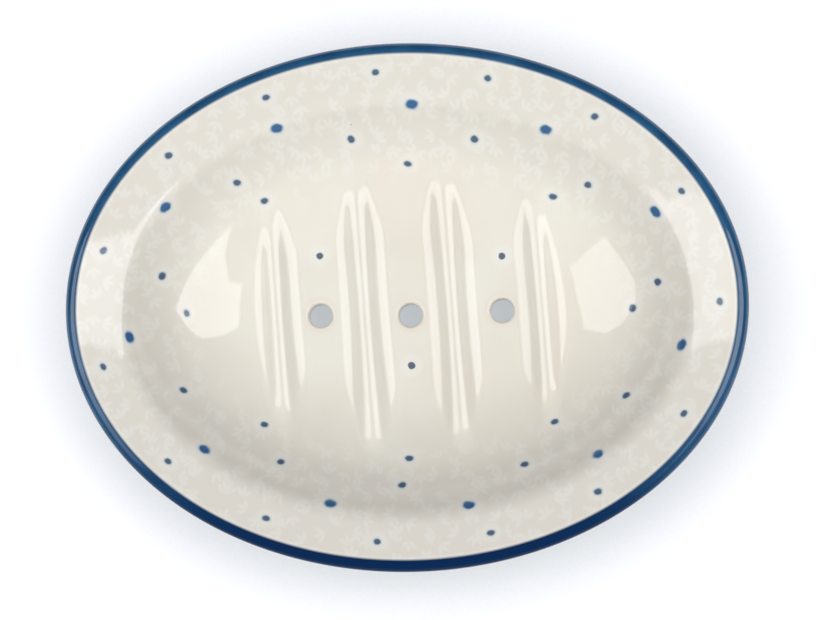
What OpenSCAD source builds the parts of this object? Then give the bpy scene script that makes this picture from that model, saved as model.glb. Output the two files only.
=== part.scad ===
// Oval soap dish in glazed stoneware.
// A broad flange slopes in to a shallow bowl, four slanted ridges hold the bar of soap clear of the
// floor, and three holes between the ridges drain it. The dish stands on a bare foot ring.
// X runs along the dish, Y across it and Z up. The origin is on the table, under the middle.

/* [Dish] */
// Length over the rim
dish_l = 145; // [136:0.5:156]
// Width over the rim
dish_w = 112.5; // [106:0.5:120]
// Height of the rim above the table
dish_h = 26.5; // [25:0.5:32]
// Thickness of the wall and floor
wall = 5; // [4:0.1:6]

/* [Flange and bowl] */
// Width of the flange, from the rim to where the shoulder starts to turn down
flange_w = 9.8; // [8:0.2:12]
// Fall of the flange towards the bowl, in degrees
flange_slope = 12; // [6:1:16]
// Radius of the shoulder between the flange and the bowl
shoulder_r = 7; // [6.5:0.5:10]
// Width of the flat part of the floor
floor_w = 30; // [26:1:38]

/* [Rim band] */
// Width of the painted band, measured in from the rim
band_w = 2.1; // [1.4:0.1:2.6]

/* [Foot ring] */
// Height of the floor's underside above the table
foot_h = 4.5; // [4:0.1:6]
// Width of the foot ring where it joins the bowl
foot_w = 4.8; // [4:0.2:6]
// Distance of the foot ring in from the rim
foot_inset = 25; // [21:0.5:27]
// How far each side of the foot ring draws in on its way down
foot_taper = 0.5; // [0:0.1:0.6]
// Rounding of the foot ring's lower edges
foot_edge_r = 0.8; // [0.4:0.1:1.1]

/* [Ridges] */
// Distance in from the ends of the rim to the foot of the wall, where the row of ridges starts
ridge_row_inset = 24; // [22:0.2:26]
// Height of a ridge above the floor
ridge_h = 3; // [2:0.1:3.4]
// Radius of a ridge's crest
ridge_crest_r = 3; // [2:0.1:3.4]
// Steepest slope of a ridge's flank, in degrees
ridge_flank = 45; // [42:1:58]
// Slant of the ridges across the dish, in degrees
ridge_slant = 4; // [0:1:8]

/* [Drain holes] */
// Number of drain holes along the middle of the dish
hole_count = 3; // [1:2:3]
// Diameter of a drain hole
hole_d = 5.1; // [4:0.1:6]
// Rounding of the glazed edges of a drain hole
hole_edge_r = 0.7; // [0.3:0.1:1]

/* [Hidden] */

glaze_colour = "#ebe5d8";
cobalt_colour = "#2b5f8f";
clay_colour = "#c9b294";

// Segments in a full turn, and steps in a rounded stretch of an outline
turn_segments = 240;
arc_steps = 8;
crown_steps = 3;
bowl_steps = 14;

// The lip's two rounded corners follow the thickness of the wall. The upper one is never tighter than
// the band is wide, so that the band always ends on its way up to the crown.
lip_top_share = 0.44;
lip_low_share = 0.24;
lip_r = max(wall * lip_top_share, band_w);
lip_low_r = wall * lip_low_share;

// Sizes that an outline is built from are rounded to the micron
function micron(size) = round(size * 1000) / 1000;

// The outline of the dish is an oval of four arcs: a tight one at each end and a wide one along
// each side. They share a tangent where they meet, so the same section can be turned around all
// four, and every band of the dish keeps its width right round. The middle of the oval, an end's
// centre and a side's centre are the corners of a right triangle with sides in these shares, so the
// sides' centres lie a whole side of the triangle off the middle.
triangle_shares = [3, 4, 5];
oval_unit = micron((dish_l - dish_w) / 2 / (triangle_shares[0] + triangle_shares[1] - triangle_shares[2]));
end_x = triangle_shares[0] * oval_unit;
side_y = triangle_shares[1] * oval_unit;
end_r = micron(dish_l / 2) - end_x;
side_r = end_r + triangle_shares[2] * oval_unit;

// The line through a side's centre and an end's centre divides their arcs, and runs on to here
reach = micron(dish_l);
divide = [end_x + triangle_shares[0] * reach, triangle_shares[1] * reach];

// How far a cut runs past the faces that it goes through
overrun = 1;

// Profiles are drawn as [inset, height]: the inset runs from the rim towards the middle. An inset
// of "middle" reaches the axis of any of the four arcs.
middle = side_r;
floor_z = foot_h + wall;
floor_inset = (dish_w - floor_w) / 2;

// A point at a slope on a rounded stretch whose normal leans in by that slope
function lean(slope) = [sin(slope), cos(slope)];
function arc(centre, radius, from, to, steps) =
    [for (i = [0:steps]) centre + radius * lean(from + (to - from) * i / steps)];

// Lip and flange
lip_centre = [lip_r, dish_h - lip_r];
flange_start = lip_centre + lip_r * lean(flange_slope);
flange_end_z = flange_start[1] - (flange_w - flange_start[0]) * tan(flange_slope);

// The bowl's arc is the one that touches both the shoulder's arc and the flat floor
shoulder_centre = [flange_w, flange_end_z] - shoulder_r * lean(flange_slope);
run = floor_inset - shoulder_centre[0];
rise = shoulder_centre[1] - floor_z;
bowl_r = (run ^ 2 + rise ^ 2 - shoulder_r ^ 2) / (2 * (shoulder_r + rise));
bowl_centre = [floor_inset, floor_z + bowl_r];
bowl_slope = atan2(run, bowl_r - rise);

// The lower corner of the lip touches the flange's underside, one wall below its face
flange_low = shoulder_centre + (shoulder_r - wall) * lean(flange_slope);
lip_low_touch = lip_low_r - lip_low_r * sin(flange_slope);
lip_low_z = flange_low[1] + (flange_low[0] - lip_low_touch) * tan(flange_slope)
    + lip_low_r * cos(flange_slope);
lip_low_centre = [lip_low_r, lip_low_z];

// The band ends where the lip's upper corner is band_w in from the rim
band_lean = asin(band_w / lip_r - 1);

bowl_face = arc(bowl_centre, -bowl_r, bowl_slope, 0, bowl_steps);
upper_face = concat(
    arc(lip_centre, lip_r, 0, flange_slope, crown_steps),
    arc(shoulder_centre, shoulder_r, flange_slope, bowl_slope, arc_steps),
    [for (i = [1:bowl_steps]) bowl_face[i]],
    [[middle, floor_z]]
);
bowl_under = arc(bowl_centre, -bowl_r - wall, bowl_slope, 0, bowl_steps);
lower_face = concat(
    arc(shoulder_centre, shoulder_r - wall, flange_slope, bowl_slope, arc_steps),
    [for (i = [1:bowl_steps]) bowl_under[i]],
    [[middle, foot_h]]
);
lip_low_corner = arc(lip_low_centre, lip_low_r, 270, 180 + flange_slope, arc_steps);

// The dish is filled to its outer face and the crown of its lip, less the space over its upper face
crown = arc(lip_centre, lip_r, 0, band_lean, arc_steps);
body_profile = concat([[middle, dish_h]], crown, [[band_w, lip_low_z]], lip_low_corner, lower_face);
space_profile = concat([[middle, dish_h + overrun], [lip_r, dish_h + overrun]], upper_face);

// The band is filled to its outer face, less all that lies more than its width in from the rim
band_profile = concat(
    [[middle, lip_low_z], [0, lip_low_z]],
    arc(lip_centre, lip_r, -90, band_lean, arc_steps),
    [[middle, crown[arc_steps][1]]]
);
band_inner_profile = [
    [band_w, -overrun],
    [band_w, dish_h + overrun],
    [middle, dish_h + overrun],
    [middle, -overrun],
];

// The foot ring is filled to its outer face, less the space inside it. It starts out taller than it
// is, and the dish above it cuts its top to the underside of the bowl.
foot_inner = foot_inset + foot_w;
foot_corner = foot_taper + foot_edge_r;
foot_top = lookup(foot_inset, lower_face) + overrun;
foot_profile = concat(
    [[middle, 0]],
    arc([foot_inset + foot_corner, foot_edge_r], foot_edge_r, 180, 270, arc_steps),
    [[foot_inset, foot_top - overrun], [foot_inset, foot_top], [middle, foot_top]]
);
foot_inner_profile = concat(
    [[middle, -overrun], [foot_inner - foot_corner, -overrun]],
    arc([foot_inner - foot_corner, foot_edge_r], foot_edge_r, 180, 90, arc_steps),
    [
        [foot_inner, lookup(foot_inner, lower_face)],
        [foot_inner, foot_top + overrun],
        [middle, foot_top + overrun],
    ]
);

// A ridge's section is a crest arc that runs into a hollow foot arc on each side. The feet end just
// under the floor, so that the floor cuts them at a clear angle.
ridge_bury = 0.1;
ridge_arcs_r = (ridge_h + ridge_bury) / (1 - cos(ridge_flank));
ridge_foot_r = ridge_arcs_r - ridge_crest_r;
ridge_half_w = ridge_arcs_r * sin(ridge_flank);
ridge_foot_z = ridge_foot_r - ridge_bury;
ridge_section = concat(
    arc([-ridge_half_w, ridge_foot_z], -ridge_foot_r, 0, -ridge_flank, arc_steps),
    arc([0, ridge_h - ridge_crest_r], ridge_crest_r, -ridge_flank, ridge_flank, 2 * arc_steps),
    arc([ridge_half_w, ridge_foot_z], -ridge_foot_r, ridge_flank, 0, arc_steps)
);

// The ridges stand at an even pitch, and each outer one is as far from the foot of the wall. They
// lie half a pitch and a pitch and a half off the middle, and the holes come midway between them.
ridge_place_shares = [-1.5, -0.5, 0.5, 1.5];
ridge_pitch = micron((dish_l - 2 * ridge_row_inset) / (len(ridge_place_shares) + 1));

// Fills a profile around the oval. The two ends are turned in full, and the wide arcs of the two
// sides are turned in full too and kept where they overlap, between the lines that divide the arcs.
module oval_fill(profile) {
    for (end = [-end_x, end_x])
        arc_fill(profile, end_r, [end, 0]);
    intersection() {
        arc_fill(profile, side_r, [0, -side_y]);
        arc_fill(profile, side_r, [0, side_y]);
        translate([0, 0, -overrun])
            linear_extrude(dish_h + 2 * overrun)
                polygon([
                    [end_x, 0],
                    divide,
                    [-divide[0], divide[1]],
                    [-end_x, 0],
                    -divide,
                    [divide[0], -divide[1]],
                ]);
    }
}

// Fills a profile around the centre of one arc
module arc_fill(profile, radius, centre) {
    translate(centre)
        rotate_extrude($fn = turn_segments)
            polygon([for (p = profile) [max(0, radius - micron(p[0])), micron(p[1])]]);
}

// One drain hole with its rounded upper and lower edges
module drain_hole() {
    edge = hole_d / 2 + hole_edge_r;
    rotate_extrude($fn = turn_segments)
        polygon(concat(
            [[0, -overrun], [edge, -overrun]],
            arc([edge, foot_h + hole_edge_r], hole_edge_r, 180, 270, arc_steps),
            arc([edge, floor_z - hole_edge_r], hole_edge_r, 270, 360, arc_steps),
            [[edge, floor_z + overrun], [0, floor_z + overrun]]
        ));
}

// All the drain holes, in line along the middle of the dish
module drain_holes() {
    for (i = [0:hole_count - 1])
        translate([(i - (hole_count - 1) / 2) * ridge_pitch, 0, 0])
            drain_hole();
}

// Flange, bowl and floor in one wall, with the drain holes
module dish_body() {
    color(glaze_colour)
        difference() {
            oval_fill(body_profile);
            oval_fill(space_profile);
            drain_holes();
        }
}

// The painted edge of the lip
module rim_band() {
    color(cobalt_colour)
        difference() {
            oval_fill(band_profile);
            oval_fill(band_inner_profile);
        }
}

// The ring of bare clay that the dish stands on
module foot_ring() {
    color(clay_colour)
        difference() {
            oval_fill(foot_profile);
            oval_fill(foot_inner_profile);
            oval_fill(body_profile);
        }
}

// A level ridge across the floor, which runs out where the bowl rises to its crest. Its feet stay
// clear of the drain holes.
module soap_ridge(place) {
    color(glaze_colour)
        difference() {
            intersection() {
                translate([place * ridge_pitch, 0, floor_z])
                    rotate([0, 0, ridge_slant])
                        rotate([90, 0, 0])
                            linear_extrude(dish_w, center = true)
                                polygon(ridge_section);
                oval_fill(space_profile);
            }
            drain_holes();
        }
}

module left_outer_ridge() {
    soap_ridge(ridge_place_shares[0]);
}

module left_inner_ridge() {
    soap_ridge(ridge_place_shares[1]);
}

module right_inner_ridge() {
    soap_ridge(ridge_place_shares[2]);
}

module right_outer_ridge() {
    soap_ridge(ridge_place_shares[3]);
}

dish_body();
rim_band();
foot_ring();
left_outer_ridge();
left_inner_ridge();
right_inner_ridge();
right_outer_ridge();
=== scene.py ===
# %% [markdown]
# # An oval soap dish in glazed stoneware
# The dish is one thick wall of clay under a cream glaze, with a cobalt band brushed around its lip,
# four slanted ridges that hold the soap up, three drain holes and a bare foot ring.
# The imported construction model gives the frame: every piece is made in place, in metres, and stands
# for the construction solid of the same name.

# %% Load the frame
import math

import bpy
import numpy as np
from mathutils import Matrix, Vector


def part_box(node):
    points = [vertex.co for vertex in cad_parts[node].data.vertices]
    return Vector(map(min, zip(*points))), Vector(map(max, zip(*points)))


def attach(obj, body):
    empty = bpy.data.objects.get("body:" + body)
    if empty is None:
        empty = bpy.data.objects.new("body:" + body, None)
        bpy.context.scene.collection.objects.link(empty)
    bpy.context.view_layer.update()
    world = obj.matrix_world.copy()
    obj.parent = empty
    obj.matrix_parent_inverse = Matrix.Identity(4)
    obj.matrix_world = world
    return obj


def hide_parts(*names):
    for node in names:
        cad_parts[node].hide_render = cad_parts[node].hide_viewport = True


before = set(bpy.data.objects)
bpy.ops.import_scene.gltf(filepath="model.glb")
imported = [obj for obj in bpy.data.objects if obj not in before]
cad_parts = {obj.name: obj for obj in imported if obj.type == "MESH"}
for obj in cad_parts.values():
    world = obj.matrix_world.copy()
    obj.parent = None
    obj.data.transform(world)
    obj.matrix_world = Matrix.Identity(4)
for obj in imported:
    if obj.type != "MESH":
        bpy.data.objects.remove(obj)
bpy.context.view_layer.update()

# %% [markdown]
# ## Sizes
# The dish is described as a potter would: by its length and width over the lip, and by one section
# that runs from the lip to the middle. A point of the section is an inset, measured in from the
# lip, and a height above the table. The outer sizes are read from the frame, so the looks can't
# grow away from the construction.

# %% Sizes of the dish
MM = 0.001
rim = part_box("rim_band")[1]
half_length, half_width = rim.x, rim.y
rim_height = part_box("dish_body")[1].z
foot_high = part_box("foot_ring")[1]
floor_under_z = 4.5 * MM
wall = 5 * MM
floor_z = floor_under_z + wall
flange_width = 9.8 * MM
flange_slope = math.radians(12)
shoulder_r = 7 * MM
flat_floor_width = 30 * MM
LIP_SHARE, LIP_LOW_SHARE = 0.44, 0.24
lip_r = LIP_SHARE * wall
lip_low_r = LIP_LOW_SHARE * wall
band_width = 2.1 * MM
foot_inset = half_length - foot_high.x
foot_width = 4.8 * MM
print("half length", round(half_length, 5), "half width", round(half_width, 5))
print("rim height", round(rim_height, 5), "foot inset", round(foot_inset, 5))

# %% [markdown]
# ## Section of the dish
# The section is made of arcs that touch: the rounded lip, the straight flange, the shoulder and the
# bowl, down to the flat floor. Points lie one to three degrees apart on the arcs that are seen from
# above, close enough for a smooth reflection in the glaze, and up to six on the underside. The
# bowl's arc is found from the one condition that it touches the shoulder and the floor at once.


# %% Arcs of the section
def lean(slope):
    return np.array([math.sin(slope), math.cos(slope)])


def arc(centre, radius, start, end, step=2.0):
    """Points of a rounded stretch between two slopes in degrees, at most step degrees apart."""
    count = max(2, math.ceil(abs(end - start) / step))
    slopes = [start + (end - start) * i / count for i in range(count + 1)]
    return [np.array(centre) + radius * lean(math.radians(slope)) for slope in slopes]


slope_deg = math.degrees(flange_slope)
floor_inset = half_width - flat_floor_width / 2
lip_centre = np.array([lip_r, rim_height - lip_r])
flange_start = lip_centre + lip_r * lean(flange_slope)
flange_fall = (flange_width - flange_start[0]) * math.tan(flange_slope)
flange_end = np.array([flange_width, flange_start[1] - flange_fall])
shoulder_centre = flange_end - shoulder_r * lean(flange_slope)
run = floor_inset - shoulder_centre[0]
rise = shoulder_centre[1] - floor_z
bowl_r = (run**2 + rise**2 - shoulder_r**2) / (2 * (shoulder_r + rise))
bowl_centre = np.array([floor_inset, floor_z + bowl_r])
bowl_slope = math.degrees(math.atan2(run, bowl_r - rise))
print("bowl radius", round(bowl_r, 5), "bowl slope", round(bowl_slope, 1))

# %% Section of the dish
FLANGE_STEPS = 8
# slope in degrees at which the underside of the lip turns from its edge to its back
LIP_BACK = 240
band_lean = math.degrees(math.asin(band_width / lip_r - 1))
flange_low = shoulder_centre + (shoulder_r - wall) * lean(flange_slope)
lip_low_touch = lip_low_r - lip_low_r * math.sin(flange_slope)
lip_low_rise = (flange_low[0] - lip_low_touch) * math.tan(flange_slope)
lip_low_z = flange_low[1] + lip_low_rise + lip_low_r * math.cos(flange_slope)
lip_low_centre = np.array([lip_low_r, lip_low_z])

flange_run = flange_end - flange_start
flange_points = [flange_start + flange_run * k / FLANGE_STEPS for k in range(1, FLANGE_STEPS)]
lip_back = arc(lip_low_centre, lip_low_r, LIP_BACK, 180 + slope_deg, step=6)
upper_section = (
    arc(lip_centre, lip_r, band_lean, slope_deg)
    + flange_points
    + arc(shoulder_centre, shoulder_r, slope_deg, bowl_slope)
    + arc(bowl_centre, -bowl_r, bowl_slope, 0, step=1)[1:]
)
lower_section = (
    lip_back
    + arc(shoulder_centre, shoulder_r - wall, slope_deg, bowl_slope, step=4)
    + arc(bowl_centre, -bowl_r - wall, bowl_slope, 0, step=3)[1:]
)
print("points above", len(upper_section), "points below", len(lower_section))

# %% [markdown]
# ## Rings
# Each point of the section becomes one oval ring around the dish. The rings are made as by hand: a
# circle is added and scaled to the first oval, then its edge is extruded and scaled again and
# again, so every ring keeps its points in line and the sheet closes into a clean shell.

# %% Oval rings
RING_POINTS = 400
WELD = 0.5e-6


def fresh():
    """Leaves edit mode and deselects everything."""
    if bpy.context.mode != "OBJECT":
        bpy.ops.object.mode_set(mode="OBJECT")
    bpy.ops.object.select_all(action="DESELECT")


def oval_sheet(name, section):
    """A sheet of oval rings that follows a section, in edit mode with its last ring selected."""
    fresh()
    inset, height = section[0]
    bpy.ops.mesh.primitive_circle_add(vertices=RING_POINTS, radius=1, location=(0, 0, height))
    sheet = bpy.context.object
    sheet.name = sheet.data.name = name
    sheet.scale = (half_length - inset, half_width - inset, 1)
    bpy.ops.object.transform_apply(location=True, rotation=True, scale=True)
    bpy.ops.object.mode_set(mode="EDIT")
    bpy.ops.mesh.select_mode(type="EDGE")
    bpy.ops.mesh.select_all(action="SELECT")
    for (i0, z0), (i1, z1) in zip(section, section[1:]):
        bpy.ops.mesh.extrude_edges_move(TRANSFORM_OT_translate={"value": (0, 0, z1 - z0)})
        scale = ((half_length - i1) / (half_length - i0), (half_width - i1) / (half_width - i0), 1)
        bpy.ops.transform.resize(value=scale, center_override=(0, 0, 0))
    return sheet


def close_ring(piece):
    """Joins the last ring of a sheet to its first one, where both lie in the same place."""
    bpy.ops.mesh.select_all(action="SELECT")
    bpy.ops.mesh.remove_doubles(threshold=WELD)
    bpy.ops.mesh.normals_make_consistent(inside=False)
    bpy.ops.object.mode_set(mode="OBJECT")
    return piece


print("points in a ring", RING_POINTS)

# %% Smooth shading and measuring
SHARP_PAST = 35


def apply_modifiers(piece):
    fresh()
    piece.select_set(True)
    bpy.context.view_layer.objects.active = piece
    for modifier in list(piece.modifiers):
        bpy.ops.object.modifier_apply(modifier=modifier.name)


def smooth(piece, angle=SHARP_PAST):
    """Smooth shading with edges kept sharp past an angle, and the flat faces kept truly flat."""
    fresh()
    piece.select_set(True)
    bpy.context.view_layer.objects.active = piece
    bpy.ops.object.shade_smooth_by_angle(angle=math.radians(angle))
    flat = piece.modifiers.new("flat faces stay flat", "WEIGHTED_NORMAL")
    flat.keep_sharp = True
    apply_modifiers(piece)


def corners(mesh):
    """Places of a mesh's points, in rows of x, y and z."""
    places = np.zeros(len(mesh.vertices) * 3)
    mesh.vertices.foreach_get("co", places)
    return places.reshape(-1, 3)


def report(piece):
    places = corners(piece.data)
    low, high = places.min(0).round(5).tolist(), places.max(0).round(5).tolist()
    triangles = sum(len(p.vertices) - 2 for p in piece.data.polygons)
    print(piece.name, "triangles", triangles, "from", low, "to", high)


print("edges stay sharp past", SHARP_PAST, "degrees")

# %% [markdown]
# ## Drain holes
# A potter cuts the holes with a tube while the clay is soft and wipes their edges round, and the
# glaze then pools a little around them. The cutter is a round plug, flared at both ends by the
# rounding of the edges. It is extruded and scaled ring by ring, as the dish is, and taken from the
# dish with a Boolean.

# %% Drain hole cutter
hole_r = 5.1 / 2 * MM
hole_edge_r = 0.7 * MM
hole_places = [(-19.4 * MM, -0.4 * MM), (0.1 * MM, -0.5 * MM), (19.9 * MM, 0.3 * MM)]
HOLE_POINTS, HOLE_STEP = 64, 9
OVERRUN = 1 * MM
flare_r = hole_r + hole_edge_r
flare_below = arc((flare_r, floor_under_z + hole_edge_r), hole_edge_r, 180, 270, HOLE_STEP)
flare_above = arc((flare_r, floor_z - hole_edge_r), hole_edge_r, 270, 360, HOLE_STEP)
plug = [(flare_r, floor_under_z - OVERRUN)]
plug += [tuple(p) for p in flare_below + flare_above]
plug += [(flare_r, floor_z + OVERRUN)]
print("hole radius", round(hole_r, 5), "rings in the plug", len(plug))


def hole_cutter(x, y):
    fresh()
    bpy.ops.mesh.primitive_circle_add(
        vertices=HOLE_POINTS, radius=flare_r, location=(0, 0, plug[0][1]), fill_type="NGON"
    )
    cutter = bpy.context.object
    cutter.name = "hole cutter"
    bpy.ops.object.transform_apply(location=True, rotation=True, scale=True)
    bpy.ops.object.mode_set(mode="EDIT")
    bpy.ops.mesh.select_mode(type="FACE")
    bpy.ops.mesh.select_all(action="SELECT")
    for (r0, z0), (r1, z1) in zip(plug, plug[1:]):
        bpy.ops.mesh.extrude_region_move(TRANSFORM_OT_translate={"value": (0, 0, z1 - z0)})
        bpy.ops.transform.resize(value=(r1 / r0, r1 / r0, 1), center_override=(0, 0, 0))
    bpy.ops.mesh.select_all(action="SELECT")
    bpy.ops.mesh.normals_make_consistent(inside=False)
    bpy.ops.transform.translate(value=(x, y, 0))
    bpy.ops.object.mode_set(mode="OBJECT")
    return cutter


# %% [markdown]
# ## Dish body
# Flange, bowl and floor are one wall. The sheet starts at the edge of the flat floor, climbs the
# bowl and the flange to the edge of the painted band, drops behind the band, and comes back along
# the underside. Both ends are then filled flat, so the wall is closed, and the holes are cut.

# %% Dish body
FLAT_MARGIN, BEHIND_BAND = 0.4 * MM, 0.6 * MM
flat_edge = floor_inset + FLAT_MARGIN
behind_band_z = lip_low_z - BEHIND_BAND
section = (
    [np.array([flat_edge, floor_z])]
    + list(reversed(upper_section))
    + [np.array([band_width, behind_band_z])]
    + [p for p in lower_section if p[0] > band_width]
    + [np.array([flat_edge, floor_under_z])]
)
body = oval_sheet("dish_body_glazed", section)
bpy.ops.mesh.select_all(action="SELECT")
bpy.ops.mesh.fill_holes(sides=0)
bpy.ops.mesh.normals_make_consistent(inside=False)
bpy.ops.object.mode_set(mode="OBJECT")
for place in hole_places:
    cutter = hole_cutter(*place)
    cut = body.modifiers.new("drain hole", "BOOLEAN")
    cut.operation = "DIFFERENCE"
    cut.solver = "EXACT"
    cut.object = cutter
    apply_modifiers(body)
    bpy.data.objects.remove(cutter)
smooth(body)
report(body)

# %% [markdown]
# ## Painted lip
# The band is the outer half of the lip, under a brushed coat of cobalt. It could be paint alone,
# but the construction has it as a piece, so it is its own ring, closed on its inner side by an
# upright face that stands against the dish body.

# %% Painted lip
section = (
    arc(lip_centre, lip_r, band_lean, -90, step=2.5)
    + arc(lip_low_centre, lip_low_r, 270, LIP_BACK, step=6)
    + [p for p in lip_back[1:] if p[0] < band_width]
)
section += [np.array([band_width, section[-1][1]]), section[0]]
band = close_ring(oval_sheet("rim_band_painted", section))
smooth(band)
report(band)

# %% [markdown]
# ## Foot ring
# The ring is turned on the wheel: its sides draw in a little on the way down, and the edge that
# stands on the table is rounded and wiped clean of glaze. Its top is buried in the bowl, so no
# gap can show between the two curved surfaces.

# %% Foot ring
foot_taper = 0.5 * MM
foot_edge_r = 0.8 * MM
FOOT_STEP = 9
BURIED = 0.5 * MM
foot_corner = foot_taper + foot_edge_r
foot_far = foot_inset + foot_width


def under_height(inset):
    """Height of the bowl's underside at an inset."""
    return bowl_centre[1] - math.sqrt((bowl_r + wall) ** 2 - (bowl_centre[0] - inset) ** 2)


outer_top = np.array([foot_inset, under_height(foot_inset)])
inner_top = np.array([foot_far, under_height(foot_far)])
outer_corner = arc((foot_inset + foot_corner, foot_edge_r), foot_edge_r, 180, 270, FOOT_STEP)
inner_corner = arc((foot_far - foot_corner, foot_edge_r), foot_edge_r, 90, 180, FOOT_STEP)
bury = np.array([0, BURIED])
section = (
    [outer_top + bury, outer_top]
    + list(reversed(outer_corner))
    + list(reversed(inner_corner))
    + [inner_top, inner_top + bury, outer_top + bury]
)
foot = close_ring(oval_sheet("foot_ring_turned", section))
smooth(foot)
report(foot)

# %% [markdown]
# ## Ridges
# Each ridge is moulded with the dish, so it has no seam: its rounded crest falls to a hollow foot
# that runs out flat on the floor, and at its ends the ridge melts into the rising bowl in a round
# arch. Towards the ends the crest gets rounder and the foot tighter, and the crest dips a little
# in the middle, as on a dish that sagged in the kiln. Extruding a section would leave a hard cut
# where it meets a bowl curved in two directions. So a fine grid is laid over the ridge's place,
# and each of its points is lifted to the height that the floor, the bowl and the ridge make
# together. The grid's border dips a few thousandths of a millimetre under the glaze, and the piece
# is closed by a bottom inside the wall.

# %% Height of the bowl
HALVINGS = 44
MIDDLE_GAP = 0.01 * MM
STEEPEST = 0.999


def inset_at(x, y):
    """Inset of the oval ring that passes over each point, found by halving."""
    low = np.zeros_like(x)
    high = np.full_like(x, half_width - MIDDLE_GAP)
    for _ in range(HALVINGS):
        mid = (low + high) / 2
        outside = (x / (half_length - mid)) ** 2 + (y / (half_width - mid)) ** 2 > 1
        high = np.where(outside, mid, high)
        low = np.where(outside, low, mid)
    return (low + high) / 2


def bowl_height(inset):
    """Height of the bowl over the flat floor at each inset."""
    reach = np.clip(bowl_centre[0] - inset, 0, bowl_r * STEEPEST)
    return bowl_r - np.sqrt(bowl_r**2 - reach**2)


bowl_start = floor_inset - bowl_r * math.sin(math.radians(bowl_slope))
print("bowl rises", round(float(bowl_height(bowl_start)), 5), "up to the shoulder")

# %% Height of a ridge
ridge_height = 3 * MM
crest_r, crest_r_at_ends = 2.4 * MM, 3.7 * MM
flank_lean = math.radians(45)
hollow_r, hollow_r_at_ends = 5.6 * MM, 3.6 * MM
crest_edge = crest_r * math.sin(flank_lean)
crest_fall = crest_r * (1 - math.cos(flank_lean))
flank_fall = ridge_height - crest_fall - hollow_r * (1 - math.cos(flank_lean))
half_base = crest_edge + flank_fall / math.tan(flank_lean) + hollow_r * math.sin(flank_lean)
print("flank falls", round(flank_fall, 5), "half base", round(half_base, 5))


def crest_height(across, radius):
    """Height of a ridge's crest, whose flanks run straight on down at their steepest slope."""
    across, edge = np.abs(across), radius * math.sin(flank_lean)
    round_part = np.minimum(across, edge)
    height = ridge_height - radius + np.sqrt(radius**2 - round_part**2)
    return height - np.maximum(across - edge, 0) * math.tan(flank_lean)


def hollow(gap, radius):
    """How far the surface stands over a flank, where the floor lies gap above that flank."""
    drop, span = radius * (1 - math.cos(flank_lean)), radius * math.sin(flank_lean)
    inside = span - (gap + drop) / math.tan(flank_lean)
    lift = radius - np.sqrt(radius**2 - np.clip(inside, 0, span) ** 2) + gap
    return np.where(inside >= span, 0, np.where(inside <= 0, gap, lift))


# %% Grid of a ridge
RIDGE_SLANT = math.radians(4)
RIDGE_REACH = 80 * MM
RIDGE_DEPTH = 1.2 * MM
GRID_MARGIN, GRID_ACROSS, GRID_ALONG = 0.8 * MM, 0.22 * MM, 0.3 * MM
grid_width = 2 * (half_base + GRID_MARGIN)
cells_across, cells_along = round(grid_width / GRID_ACROSS), round(RIDGE_REACH / GRID_ALONG)
print("cells of the grid", cells_across, "by", cells_along)


def laid_grid(name, x):
    """A fine flat grid over the whole place that a ridge can take."""
    fresh()
    bpy.ops.mesh.primitive_grid_add(
        x_subdivisions=cells_across, y_subdivisions=cells_along, size=1
    )
    grid = bpy.context.object
    grid.name = grid.data.name = name
    grid.scale = (grid_width, RIDGE_REACH, 1)
    grid.rotation_euler = (0, 0, RIDGE_SLANT)
    grid.location = (x, 0, 0)
    bpy.ops.object.transform_apply(location=True, rotation=True, scale=True)
    return grid


def close_below(grid, stands):
    """Deletes the faces on which no point stands up, and closes the rest with a bottom below."""
    spare = [p.index for p in grid.data.polygons if not any(stands[v] for v in p.vertices)]
    bpy.ops.object.mode_set(mode="EDIT")
    bpy.ops.mesh.select_mode(type="FACE")
    bpy.ops.mesh.select_all(action="DESELECT")
    bpy.ops.object.mode_set(mode="OBJECT")
    for index in spare:
        grid.data.polygons[index].select = True
    bpy.ops.object.mode_set(mode="EDIT")
    bpy.ops.mesh.delete(type="FACE")
    bpy.ops.mesh.select_all(action="SELECT")
    bpy.ops.mesh.extrude_region_move(TRANSFORM_OT_translate={"value": (0, 0, -RIDGE_DEPTH)})
    bpy.ops.mesh.select_all(action="SELECT")
    bpy.ops.mesh.normals_make_consistent(inside=False)
    bpy.ops.object.mode_set(mode="OBJECT")


# %% Ridges
SINK = 0.003 * MM
RAISED = 1e-8
CREST_DIP, DIP_REACH = 0.5 * MM, 27 * MM
RIDGE_SMOOTHING = 60
# place of each ridge along the dish, and the slope by which its crest falls towards the back
ridge_places = {
    "left_outer_ridge": (-28.7 * MM, 0.012),
    "left_inner_ridge": (-9.7 * MM, 0.008),
    "right_inner_ridge": (9.3 * MM, 0),
    "right_outer_ridge": (28.7 * MM, 0),
}


def soap_ridge(name, x, tilt):
    ridge = laid_grid(name, x)
    points = corners(ridge.data)
    across = (points[:, 0] - x) * math.cos(RIDGE_SLANT) + points[:, 1] * math.sin(RIDGE_SLANT)
    bowl = bowl_height(inset_at(points[:, 0], points[:, 1]))
    to_end = np.clip((points[:, 1] / DIP_REACH) ** 2, 0, 1)
    crest = crest_height(across, crest_r + (crest_r_at_ends - crest_r) * to_end)
    crest -= CREST_DIP * (1 - to_end) + tilt * points[:, 1]
    surface = crest + hollow(bowl - crest, hollow_r + (hollow_r_at_ends - hollow_r) * to_end)
    points[:, 2] = floor_z + surface - SINK
    ridge.data.vertices.foreach_set("co", points.ravel())
    close_below(ridge, surface - bowl > RAISED)
    smooth(ridge, RIDGE_SMOOTHING)
    report(ridge)
    return ridge


ridges = [soap_ridge(name + "_moulded", x, tilt) for name, (x, tilt) in ridge_places.items()]

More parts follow.
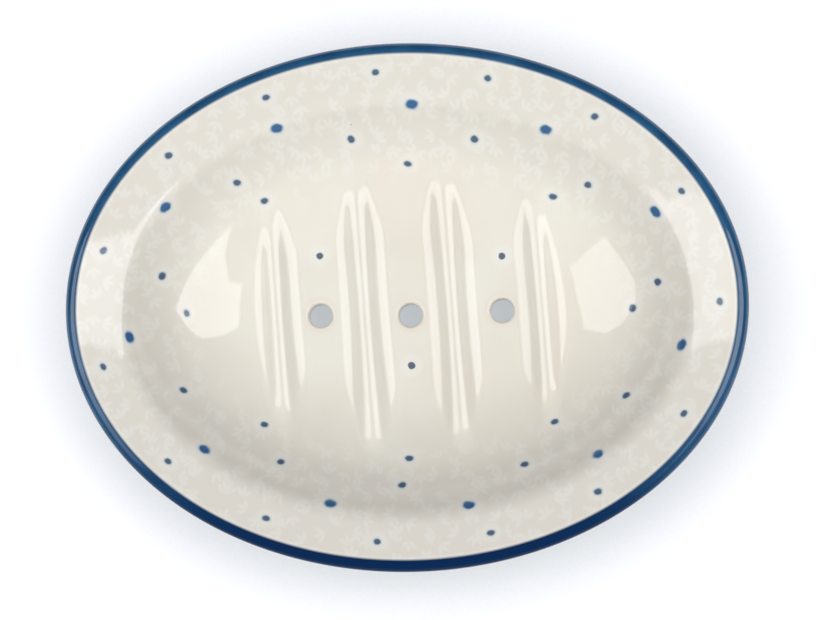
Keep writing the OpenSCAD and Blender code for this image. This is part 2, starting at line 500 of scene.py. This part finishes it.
# %% [markdown]
# ## A map around the dish
# The paint follows the dish: a brushed line keeps its distance from the lip, and motifs are spaced
# by eye along each ring. So every glazed piece gets a map whose first number runs once around
# the dish and whose second is the inset from the lip, in centimetres.

# %% Map around the dish
CM = 10 * MM
WALK_INSET = 15 * MM
WALK_POINTS = 721


def way_round(x, y, inset):
    """Share of the way around the dish, by length along the rim of the bowl."""
    angles = np.linspace(-math.pi, math.pi, WALK_POINTS)
    a, b = half_length - WALK_INSET, half_width - WALK_INSET
    steps = np.hypot(np.diff(a * np.cos(angles)), np.diff(b * np.sin(angles)))
    walked = np.concatenate([[0], np.cumsum(steps)])
    turn = np.arctan2(y / (half_width - inset), x / (half_length - inset))
    return np.interp(turn, angles, walked / walked[-1])


def map_around(piece):
    mesh = piece.data
    for layer in list(mesh.uv_layers):
        mesh.uv_layers.remove(layer)
    x, y, _ = corners(mesh).T
    inset = inset_at(x, y)
    share = way_round(x, y, inset)
    loops = np.zeros(len(mesh.loops), int)
    mesh.loops.foreach_get("vertex_index", loops)
    u, v = share[loops], inset[loops] / CM
    # a face across the seam keeps both its ends on the same side of it
    for face in mesh.polygons:
        span = slice(face.loop_start, face.loop_start + face.loop_total)
        if u[span].max() - u[span].min() > 0.5:
            u[span] = np.where(u[span] < 0.5, u[span] + 1, u[span])
    layer = mesh.uv_layers.new(name="around")
    layer.data.foreach_set("uv", np.column_stack([u, v]).ravel())
    mesh.uv_layers.active = layer


pieces = [body, band, foot] + ridges
for piece in pieces:
    map_around(piece)
print("mapped", len(pieces), "pieces")

# %% [markdown]
# ## Nodes
# Glaze, clay and table are mixed from nodes, and the same few steps come back in all of them: a
# sum, one colour laid over another, an edge that fades. Each gets a short helper, so that the
# materials below read like recipes.


# %% Helpers for nodes
def add(tree, kind, **values):
    node = tree.nodes.new(kind)
    for name, value in values.items():
        setattr(node, name, value)
    return node


def calc(tree, operation, *inputs):
    """One Math node; its inputs are numbers or sockets."""
    node = add(tree, "ShaderNodeMath", operation=operation)
    for socket, value in zip(node.inputs, inputs):
        if isinstance(value, (int, float)):
            socket.default_value = value
        else:
            tree.links.new(value, socket)
    return node.outputs[0]


def strongest(tree, masks):
    top = masks[0]
    for mask in masks[1:]:
        top = calc(tree, "MAXIMUM", top, mask)
    return top


def ramp(tree, value, start, end):
    """0 at start and 1 at end, eased in between; start may lie above end."""
    node = add(tree, "ShaderNodeMapRange", interpolation_type="SMOOTHSTEP")
    flip = start > end
    node.inputs["From Min"].default_value = min(start, end)
    node.inputs["From Max"].default_value = max(start, end)
    node.inputs["To Min"].default_value = 1.0 if flip else 0.0
    node.inputs["To Max"].default_value = 0.0 if flip else 1.0
    tree.links.new(value, node.inputs["Value"])
    return node.outputs["Result"]


def either_way(tree, chance, width):
    """A number from 0 to 1 as a shift to either side, width apart at the most."""
    return calc(tree, "MULTIPLY", calc(tree, "SUBTRACT", chance, 0.5), width)


def apart(tree, kind, value):
    """The numbers of a vector or a colour, by a node of one of the Separate kinds."""
    node = add(tree, kind)
    tree.links.new(value, node.inputs[0])
    return list(node.outputs)


def distance(tree, place, point):
    """How far each place on a piece is from one point, in metres."""
    node = add(tree, "ShaderNodeVectorMath", operation="DISTANCE")
    tree.links.new(place, node.inputs[0])
    node.inputs[1].default_value = point
    return node.outputs["Value"]


# %% Helpers for materials
def new_material(name, kind):
    """A new material, its node tree, and the one shader that makes its surface."""
    material = bpy.data.materials.new(name)
    material.use_nodes = True
    tree = material.node_tree
    tree.nodes.clear()
    shader = add(tree, kind)
    output = add(tree, "ShaderNodeOutputMaterial")
    tree.links.new(shader.outputs[0], output.inputs["Surface"])
    return material, tree, shader


def blend_colour(tree, share, under, over):
    """Lays one colour over another."""
    node = add(tree, "ShaderNodeMix", data_type="RGBA")
    for socket, value in ((node.inputs[0], share), (node.inputs[6], under), (node.inputs[7], over)):
        if isinstance(value, tuple):
            socket.default_value = value
        else:
            tree.links.new(value, socket)
    return node.outputs[2]


def tint(tree, colour, mask, strength, paint):
    """Lays paint over a colour where a mask is, no stronger than strength."""
    return blend_colour(tree, calc(tree, "MULTIPLY", mask, strength), colour, paint)


def noise(tree, place, scale, detail):
    """Soft noise: scale is in waves a metre, detail in finer layers."""
    node = add(tree, "ShaderNodeTexNoise")
    node.inputs["Scale"].default_value = scale
    node.inputs["Detail"].default_value = detail
    tree.links.new(place, node.inputs["Vector"])
    return node


def bump(tree, shader, height, strength, depth):
    """Makes the light on a shader's surface follow a height."""
    node = add(tree, "ShaderNodeBump")
    node.inputs["Strength"].default_value = strength
    node.inputs["Distance"].default_value = depth
    tree.links.new(height, node.inputs["Height"])
    tree.links.new(node.outputs[0], shader.inputs["Normal"])


# %% [markdown]
# ## Paint
# The paint is laid with a brush and a sponge, so no two dabs are quite alike. Each motif is drawn
# in millimetres around a centre of its own: the dabs stand in rings, spaced by the map, and the
# pale sprigs lie one in each cell of two loose nets, each turned its own way. An image could hold
# the paint too, but nodes stay sharp at every distance and can be changed by a number.

# %% One motif
# how softly a motif ends, as a share of its size
DAB_EDGE, BLEED_EDGE, HALO_EDGE, LEAF_EDGE = 0.3, 0.4, 0.45, 0.6


def ring_length(inset):
    """Length of an oval ring in millimetres, at an inset in millimetres."""
    a, b = half_length / MM - inset, half_width / MM - inset
    return math.pi * (3 * (a + b) - math.sqrt((3 * a + b) * (a + 3 * b)))


def on_ring(tree, around, inset, ring, count, phase):
    """Place within one motif of a ring: along it and across it, in millimetres."""
    turn = calc(tree, "FRACT", calc(tree, "MULTIPLY_ADD", around, count, phase))
    along = either_way(tree, turn, ring_length(ring) / count)
    across = calc(tree, "SUBTRACT", inset, ring)
    return along, across


def dab(tree, along, across, half_long, half_wide, edge):
    """A brushed oval spot around the place where along and across are zero."""
    a = calc(tree, "DIVIDE", along, half_long)
    b = calc(tree, "DIVIDE", across, half_wide)
    size = calc(tree, "SQRT", calc(tree, "MULTIPLY_ADD", a, a, calc(tree, "MULTIPLY", b, b)))
    return ramp(tree, size, 1 + edge, 1 - edge)


print("length of the lip in millimetres", round(ring_length(0), 1))

# %% Cobalt dabs
# rings of dabs, in millimetres: inset, count, phase, half length and half width
DAB_RINGS = [
    (6.2, 15, 0.0, 0.8, 0.65),
    (13.0, 11, 0.3, 1.25, 0.85),
    (18.6, 11, 0.8, 0.8, 0.65),
    (24.5, 8, 0.5, 0.8, 0.65),
]
LARGE_DAB = 1.0
BLEED_OUT = 0.25
HALO_LONG, HALO_WIDE = 1.6, 1.3
# three small dabs in the channels between the ridges, with wide pale halos
CHANNEL_DABS = [(-19.6, 12.5), (0.3, -11.5), (19.9, 12.0)]
CHANNEL_DAB, CHANNEL_HALO = (0.9, 0.6), (3.2, 1.6)


def cobalt_dabs(tree, place, around, inset, slide):
    """Masks of the large dabs, the small ones, the blue that bleeds from them and their halos."""
    large, small, bleeds, halos = [], [], [], []
    for ring, count, phase, long, wide in DAB_RINGS:
        along, across = on_ring(tree, around, inset, ring, count, phase)
        spot = (tree, calc(tree, "ADD", along, slide), across)
        (large if long > LARGE_DAB else small).append(dab(*spot, long, wide, DAB_EDGE))
        bleeds.append(dab(*spot, long + BLEED_OUT, wide + BLEED_OUT, BLEED_EDGE))
        halos.append(dab(*spot, long + HALO_LONG, wide + HALO_WIDE, HALO_EDGE))
    for x, y in CHANNEL_DABS:
        away = distance(tree, place, (x * MM, y * MM, floor_z))
        reach = calc(tree, "ADD", calc(tree, "MULTIPLY", away, 1 / MM), slide)
        small.append(ramp(tree, reach, *CHANNEL_DAB))
        halos.append(ramp(tree, reach, *CHANNEL_HALO))
    return [strongest(tree, masks) for masks in (large, small, bleeds, halos)]


print("dabs", sum(ring[1] for ring in DAB_RINGS) + len(CHANNEL_DABS))

# %% Loose net
NET_LOOSENESS = 0.6


def scattered(tree, place, size, shift):
    """Place within one cell of a loose flat net, in millimetres, turned by chance."""
    flat = add(tree, "ShaderNodeMapping")
    flat.inputs["Location"].default_value = (shift, shift, 0)
    flat.inputs["Scale"].default_value = (1 / MM / size, 1 / MM / size, 0)
    tree.links.new(place, flat.inputs["Vector"])
    net = add(tree, "ShaderNodeTexVoronoi", voronoi_dimensions="2D")
    net.inputs["Scale"].default_value = 1
    net.inputs["Randomness"].default_value = NET_LOOSENESS
    tree.links.new(flat.outputs[0], net.inputs["Vector"])
    local = add(tree, "ShaderNodeVectorMath", operation="SUBTRACT")
    tree.links.new(flat.outputs[0], local.inputs[0])
    tree.links.new(net.outputs["Position"], local.inputs[1])
    chance = apart(tree, "ShaderNodeSeparateColor", net.outputs["Color"])[0]
    turn = add(tree, "ShaderNodeVectorRotate", rotation_type="Z_AXIS")
    tree.links.new(local.outputs[0], turn.inputs["Vector"])
    tree.links.new(calc(tree, "MULTIPLY", chance, 2 * math.pi), turn.inputs["Angle"])
    x, y, _ = apart(tree, "ShaderNodeSeparateXYZ", turn.outputs[0])
    return calc(tree, "MULTIPLY", x, size), calc(tree, "MULTIPLY", y, size)


# %% Pale sprigs
# two nets, by the size of a cell in millimetres and by a shift in cells
SPRIG_NETS = [(4.6, 0.0), (5.3, 7.7)]
LEAF_ANGLES = (-48, 0, 48)
LEAF_OUT, LEAF_LONG, LEAF_WIDE = 1.15, 1.05, 0.42
SPRIGS_END = (30.0, 22.0)


def turned(tree, along, across, angle):
    """Along and across, turned by an angle in degrees."""
    c, s = math.cos(math.radians(angle)), math.sin(math.radians(angle))
    return (
        calc(tree, "MULTIPLY_ADD", along, c, calc(tree, "MULTIPLY", across, s)),
        calc(tree, "MULTIPLY_ADD", across, c, calc(tree, "MULTIPLY", along, -s)),
    )


def pale_sprigs(tree, place, inset):
    """Mask of the sprigs of three leaves, which fade out down the side of the bowl."""
    leaves = []
    for size, shift in SPRIG_NETS:
        along, across = scattered(tree, place, size, shift)
        for angle in LEAF_ANGLES:
            a, b = turned(tree, along, across, angle)
            outward = calc(tree, "SUBTRACT", a, LEAF_OUT)
            leaves.append(dab(tree, outward, b, LEAF_LONG, LEAF_WIDE, LEAF_EDGE))
    return calc(tree, "MULTIPLY", strongest(tree, leaves), ramp(tree, inset, *SPRIGS_END))


print("leaves in a pair of cells", len(SPRIG_NETS) * len(LEAF_ANGLES))

# %% [markdown]
# ## Glaze
# The cream glaze is glossy and a little uneven, with fine dark specks of iron. The paint lies
# under it, so the gloss is the same over the cream and the dabs. The map above places the paint,
# and noise on Object coordinates gives the wobble of the brush, the drift of the colour and the
# soft waves of the glaze.

# %% Colours of the glaze
CREAM = (0.76, 0.735, 0.66, 1)
CREAM_WARM = (0.74, 0.70, 0.62, 1)
# the cream of the flange and walls, darkened as painted shade
SHADED_WALL_CREAM = (0.705, 0.675, 0.61, 1)
PALE = (0.82, 0.82, 0.80, 1)
POOL = (0.74, 0.67, 0.60, 1)
COBALT = (0.018, 0.095, 0.21, 1)
# cobalt of a thick coat, also used as painted shade on the near side of the band
COBALT_THICK_AND_SHADED = (0.0, 0.018, 0.076, 1)
GREY_BLUE = (0.022, 0.060, 0.13, 1)
BLEED = (0.36, 0.52, 0.62, 1)
BRIGHT_BLUE = (0.006, 0.09, 0.25, 1)
SPECK = (0.10, 0.07, 0.05, 1)
PALE_STRENGTH, SPECK_STRENGTH, POOL_STRENGTH, FRINGE_STRENGTH = 0.32, 0.6, 0.45, 0.35
BLEED_STRENGTH, SMALL_DAB_STRENGTH, LARGE_DAB_STRENGTH = 0.5, 0.9, 0.95
print("cream", CREAM[:3], "cobalt", COBALT[:3])

# %% Cream ground
DRIFT_NOISE, DRIFT_RANGE = (45, 3), (0.35, 0.7)
WALL_SHADE_ENDS = (25.0, 19.0)
SPECK_SCALE, SPECK_RARITY, SPECK_SIZE = 260, 0.93, (0.075, 0.03)
POOL_REACH = (4.5 * MM, 3.5 * MM)


def cream_ground(tree, place, inset, pale):
    """The cream with all that lies in it: its drift, a painted shade over the flange and walls, the
    pale print, specks and pools.
    """
    drift = ramp(tree, noise(tree, place, *DRIFT_NOISE).outputs["Fac"], *DRIFT_RANGE)
    colour = blend_colour(tree, drift, CREAM, CREAM_WARM)
    # painted shade: the flange and walls are darker than the floor of the bowl
    colour = blend_colour(tree, ramp(tree, inset, *WALL_SHADE_ENDS), colour, SHADED_WALL_CREAM)
    colour = tint(tree, colour, pale, PALE_STRENGTH, PALE)

    # specks of iron, in a few cells of a fine net
    net = add(tree, "ShaderNodeTexVoronoi")
    net.inputs["Scale"].default_value = SPECK_SCALE
    tree.links.new(place, net.inputs["Vector"])
    chance = apart(tree, "ShaderNodeSeparateColor", net.outputs["Color"])[0]
    few = calc(tree, "GREATER_THAN", chance, SPECK_RARITY)
    specks = calc(tree, "MULTIPLY", ramp(tree, net.outputs["Distance"], *SPECK_SIZE), few)
    colour = tint(tree, colour, specks, SPECK_STRENGTH, SPECK)

    # the glaze pools a little warmer around the drain holes
    for x, y in hole_places:
        pool = ramp(tree, distance(tree, place, (x, y, floor_z)), *POOL_REACH)
        colour = tint(tree, colour, pool, POOL_STRENGTH, POOL)
    return colour


# %% Cobalt band
BAND_EDGE, BAND_FRINGE = (2.85, 2.2), (3.5, 2.7)
BRUSH_NOISE, BRUSH_RANGE = (150, 3), (0.3, 0.7)
COAT_THIN, COAT_THICK = 0.4, 0.6
# where the band's painted shade begins and ends along y, for the cobalt and for its reflection
SHADED_BAND_SIDE, SHADED_REFLECTION_SIDE = (-52 * MM, -18 * MM), (-8 * MM, -45 * MM)
GLAZE_ROUGHNESS, GLAZE_IOR = 0.05, 1.47
MIRRORING, MIRRORING_LOST = 0.5, 0.42
WAVE_NOISE, WAVE_STRENGTH, WAVE_DEPTH = (95, 1), 0.25, 0.12 * MM


def cobalt_coat(tree, place, y):
    """Cobalt that is uneven from the brush, and darker on the near side of the dish as painted shade.
    """
    thin = ramp(tree, noise(tree, place, *BRUSH_NOISE).outputs["Fac"], *BRUSH_RANGE)
    brushed = calc(tree, "MULTIPLY_ADD", thin, COAT_THIN, COAT_THICK)
    # painted shade: the cobalt turns darker towards the near side of the dish
    tone = calc(tree, "MULTIPLY", brushed, ramp(tree, y, *SHADED_BAND_SIDE))
    return blend_colour(tree, tone, COBALT_THICK_AND_SHADED, COBALT)


def gloss(tree, glaze, place, y, band_edge):
    """A glossy coat with soft waves; on the near side of the band its reflection is weakened as
    painted shade.
    """
    glaze.inputs["Roughness"].default_value = GLAZE_ROUGHNESS
    glaze.inputs["IOR"].default_value = GLAZE_IOR
    # painted shade: the band mirrors less on the near side of the dish
    shaded_reflection = calc(tree, "MULTIPLY", band_edge, ramp(tree, y, *SHADED_REFLECTION_SIDE))
    mirroring = calc(tree, "MULTIPLY_ADD", shaded_reflection, -MIRRORING_LOST, MIRRORING)
    tree.links.new(mirroring, glaze.inputs["Specular IOR Level"])
    waves = noise(tree, place, *WAVE_NOISE).outputs["Fac"]
    bump(tree, glaze, waves, WAVE_STRENGTH, WAVE_DEPTH)


# %% Painted glaze
WOBBLE_NOISE, WOBBLE = (420, 2), 0.7


def painted_glaze(name):
    material, tree, glaze = new_material(name, "ShaderNodeBsdfPrincipled")
    place = add(tree, "ShaderNodeTexCoord").outputs["Object"]
    y = apart(tree, "ShaderNodeSeparateXYZ", place)[1]
    flat_map = add(tree, "ShaderNodeUVMap", uv_map="around").outputs[0]
    around, down, _ = apart(tree, "ShaderNodeSeparateXYZ", flat_map)
    inset = calc(tree, "MULTIPLY", down, CM / MM)

    # the brush wobbles by a fraction of a millimetre, along a ring and across it
    chances = noise(tree, place, *WOBBLE_NOISE).outputs["Color"]
    across, along, _ = apart(tree, "ShaderNodeSeparateColor", chances)
    shaken = calc(tree, "ADD", inset, either_way(tree, across, WOBBLE))
    slide = either_way(tree, along, WOBBLE)

    large, small, bleeds, halos = cobalt_dabs(tree, place, around, shaken, slide)
    pale = strongest(tree, [halos, pale_sprigs(tree, place, inset)])
    colour = cream_ground(tree, place, shaken, pale)
    colour = tint(tree, colour, ramp(tree, inset, *BAND_FRINGE), FRINGE_STRENGTH, PALE)
    colour = tint(tree, colour, bleeds, BLEED_STRENGTH, BLEED)
    colour = tint(tree, colour, small, SMALL_DAB_STRENGTH, GREY_BLUE)
    colour = tint(tree, colour, large, LARGE_DAB_STRENGTH, BRIGHT_BLUE)
    band_edge = ramp(tree, inset, *BAND_EDGE)
    colour = blend_colour(tree, band_edge, colour, cobalt_coat(tree, place, y))
    tree.links.new(colour, glaze.inputs["Base Color"])
    gloss(tree, glaze, place, y, band_edge)
    return material


cream_glaze = painted_glaze("cream glaze")
cobalt_glaze = painted_glaze("cobalt band")
print("nodes in the glaze", len(cream_glaze.node_tree.nodes))

# %% [markdown]
# ## Foot
# The glaze covers the sides of the foot ring and stops in an uneven line just above the table,
# where the potter wiped it off. The clay below that line is rough, matt and sandy. One material
# makes both, blended by the height above the table.

# %% Foot material
SAND_DARK, SAND_LIGHT = (0.47, 0.37, 0.27, 1), (0.62, 0.52, 0.41, 1)
LINE_NOISE, LINE_WOBBLE, GLAZE_LINE = (130, 3), 1.2, (1.3, 1.5)
GRIT_NOISE, GRIT_RANGE = (900, 4), (0.35, 0.65)
CLAY_ROUGHNESS, SIDE_ROUGHNESS = 0.8, 0.08
GRIT_STRENGTH, GRIT_DEPTH = 0.5, 0.1 * MM


def wiped_foot():
    material, tree, clay = new_material("wiped foot", "ShaderNodeBsdfPrincipled")
    place = add(tree, "ShaderNodeTexCoord").outputs["Object"]
    height = calc(tree, "MULTIPLY", apart(tree, "ShaderNodeSeparateXYZ", place)[2], 1 / MM)
    chance = noise(tree, place, *LINE_NOISE).outputs["Fac"]
    uneven = calc(tree, "ADD", height, either_way(tree, chance, LINE_WOBBLE))
    glazed = ramp(tree, uneven, *GLAZE_LINE)
    grit = noise(tree, place, *GRIT_NOISE).outputs["Fac"]
    sand = blend_colour(tree, ramp(tree, grit, *GRIT_RANGE), SAND_DARK, SAND_LIGHT)
    tree.links.new(blend_colour(tree, glazed, sand, CREAM), clay.inputs["Base Color"])
    smoother = SIDE_ROUGHNESS - CLAY_ROUGHNESS
    roughness = calc(tree, "MULTIPLY_ADD", glazed, smoother, CLAY_ROUGHNESS)
    tree.links.new(roughness, clay.inputs["Roughness"])
    grain = calc(tree, "MULTIPLY", grit, calc(tree, "SUBTRACT", 1, glazed))
    bump(tree, clay, grain, GRIT_STRENGTH, GRIT_DEPTH)
    return material


bare_clay = wiped_foot()
print("nodes in the foot", len(bare_clay.node_tree.nodes))

# %% [markdown]
# ## Pieces in the frame
# Each piece gets its finish, rides on the one body, and takes the place of its construction solid,
# which is hidden from then on.

# %% Pieces in the frame
assembly = [
    (body, "dish_body", "cream_glaze", cream_glaze),
    (band, "rim_band", "cobalt_rim", cobalt_glaze),
    (foot, "foot_ring", "bare_clay", bare_clay),
] + [(ridge, name, "cream_glaze", cream_glaze) for ridge, name in zip(ridges, ridge_places)]
for piece, node_name, slot, material in assembly:
    piece.data.materials.clear()
    piece.data.materials.append(material)
    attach(piece, "root")
    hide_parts(node_name)
print("pieces", len(assembly))

# %% [markdown]
# ## Table
# The dish stands on a table so white that it burns out in the photograph, with a soft shadow only
# close to the dish. A lit white sheet would be grey somewhere, so the table glows by itself to
# whoever looks at it, and is plain white paper to the light that bounces back up to the dish. Its
# glow is dimmer and bluer where the dish covers it from above, as a painted shadow.

# %% Table
TABLE_SIZE, TABLE_CELLS = 8, 4
PAPER_WHITE = (0.8, 0.8, 0.8, 1)
LIT_SHARE = (0.25, 0.25, 0.25, 1)
# the glow where the dish covers the table is a painted shadow, dimmer and bluer
PAINTED_SHADOW_GLOW, OPEN_GLOW = (0.47, 0.50, 0.525, 1), (0.86, 0.87, 0.93, 1)
SHADOW_REACH, SHADOW_RANGE, SHADOW_RAYS = 40 * MM, (0.5, 0.97), 8
fresh()
bpy.ops.mesh.primitive_grid_add(
    x_subdivisions=TABLE_CELLS, y_subdivisions=TABLE_CELLS, size=TABLE_SIZE
)
table = bpy.context.object
table.name = "table"
table_white, tree, either = new_material("table white", "ShaderNodeMixShader")
rays = add(tree, "ShaderNodeLightPath")
looks = [rays.outputs[f"Is {kind} Ray"] for kind in ("Camera", "Glossy", "Transmission")]
paper = add(tree, "ShaderNodeBsdfDiffuse")
paper.inputs["Color"].default_value = PAPER_WHITE
lit = add(tree, "ShaderNodeBsdfDiffuse")
lit.inputs["Color"].default_value = LIT_SHARE
near = add(tree, "ShaderNodeAmbientOcclusion", samples=SHADOW_RAYS)
near.inputs["Distance"].default_value = SHADOW_REACH
# painted shadow: the glow dims where the dish hides the open sky from the table
open_air = ramp(tree, near.outputs["AO"], *SHADOW_RANGE)
glow = add(tree, "ShaderNodeEmission")
tree.links.new(blend_colour(tree, open_air, PAINTED_SHADOW_GLOW, OPEN_GLOW), glow.inputs["Color"])
shown = add(tree, "ShaderNodeAddShader")
tree.links.new(lit.outputs[0], shown.inputs[0])
tree.links.new(glow.outputs[0], shown.inputs[1])
tree.links.new(strongest(tree, looks), either.inputs[0])
tree.links.new(paper.outputs[0], either.inputs[1])
tree.links.new(shown.outputs[0], either.inputs[2])
table.data.materials.append(table_white)
print("table", TABLE_SIZE, "m wide, nodes", len(tree.nodes))

# %% [markdown]
# ## Light
# Two large soft boxes stand high over the dish, one to the left and one to the right. Their
# reflections run along the flange and lie as two bright leaves on the sides of the bowl. A lamp
# has no outline of its own in a glaze, so each box is a glowing panel, cut to the shape that its
# reflection shows. The surround is dark behind the dish and pale towards the front and above.

# %% Soft boxes
PANEL_HEIGHT = 2.0
RIGHT_GLOW, LEFT_GLOW = 4.2, 3.7
# corners of each panel, for a height of one metre
right_panel = [
    (0.185, 0.12), (0.235, 0.19), (0.44, 0.29), (0.79, 0.41), (1.07, 0.36), (1.48, 0.12),
    (1.17, -0.33), (0.66, -0.80), (0.55, -0.42), (0.37, -0.14), (0.21, -0.08),
]
left_panel = [
    (-0.285, 0.02), (-0.40, 0.23), (-0.78, 0.36), (-1.11, 0.34), (-1.57, 0.11),
    (-1.72, -0.20), (-1.30, -0.54), (-1.12, -0.72), (-0.68, -0.42), (-0.34, -0.15),
]


def soft_box(name, outline, radiance):
    """A flat glowing panel over the table."""
    fresh()
    bpy.ops.mesh.primitive_circle_add(
        vertices=len(outline), radius=1, fill_type="NGON", location=(0, 0, PANEL_HEIGHT)
    )
    panel = bpy.context.object
    panel.name = name
    bpy.ops.object.transform_apply(location=True, rotation=True, scale=True)
    for corner, (x, y) in zip(panel.data.vertices, outline):
        corner.co.x, corner.co.y = x * PANEL_HEIGHT, y * PANEL_HEIGHT
    material, _, light = new_material(name, "ShaderNodeEmission")
    light.inputs["Strength"].default_value = radiance
    panel.data.materials.append(material)
    print(name, "corners", len(outline))


soft_box("right_soft_box", right_panel, RIGHT_GLOW)
soft_box("left_soft_box", left_panel, LEFT_GLOW)

# %% Surround
# the direction in which the surround is palest
PALE_FROM = (0.0, -0.71, 0.71)
DARK_SIDE, PALE_SIDE = (0.04, 0.04, 0.05, 1), (0.78, 0.78, 0.77, 1)
world = bpy.data.worlds.new("surround")
bpy.context.scene.world = world
world.use_nodes = True
tree = world.node_tree
background = tree.nodes["Background"]
direction = add(tree, "ShaderNodeTexCoord").outputs["Generated"]
towards = add(tree, "ShaderNodeVectorMath", operation="DOT_PRODUCT")
tree.links.new(direction, towards.inputs[0])
towards.inputs[1].default_value = PALE_FROM
sky = blend_colour(tree, ramp(tree, towards.outputs["Value"], 0.0, 1.0), DARK_SIDE, PALE_SIDE)
tree.links.new(sky, background.inputs["Color"])
background.inputs["Strength"].default_value = 1.0
print("nodes in the surround", len(tree.nodes))

# %% [markdown]
# ## Camera
# The photograph looks down on the dish from seven degrees off the upright, from the front right,
# and the dish's length lies level in the picture. The camera is placed by these angles, at three
# quarters of a metre, with its lens chosen so that the dish fills the same part of the frame.

# %% Camera
azimuth, elevation = math.radians(35.5), math.radians(83.1)
distance_away = 0.75
roll = math.radians(-0.65)
target = Vector((0, 0, 24 * MM))
pixels_per_metre = 4722.0
picture_w, picture_h = 826, 620
middle_x, middle_y = 405.3, 305.9
SENSOR = 36
NEAREST = 0.01

level = math.cos(elevation)
back = Vector((math.sin(azimuth) * level, -math.cos(azimuth) * level, math.sin(elevation)))
right = Vector((1, 0, 0)) - back * back.x
right.normalize()
up = back.cross(right)
cos_roll, sin_roll = math.cos(roll), math.sin(roll)
right, up = right * cos_roll + up * sin_roll, up * cos_roll - right * sin_roll
lens = bpy.data.cameras.new("camera")
lens.sensor_fit = "HORIZONTAL"
lens.sensor_width = SENSOR
lens.lens = pixels_per_metre * distance_away / picture_w * SENSOR
lens.shift_x = -(middle_x - picture_w / 2) / picture_w
lens.shift_y = (middle_y - picture_h / 2) / picture_w
lens.clip_start = NEAREST
camera = bpy.data.objects.new("camera", lens)
bpy.context.scene.collection.objects.link(camera)
turn = Matrix((right, up, back)).transposed().to_4x4()
camera.matrix_world = Matrix.Translation(target + back * distance_away) @ turn
bpy.context.scene.camera = camera
bpy.context.scene.view_settings.view_transform = "Standard"
print("lens", round(lens.lens, 1), "at", [round(c, 4) for c in camera.matrix_world.translation])
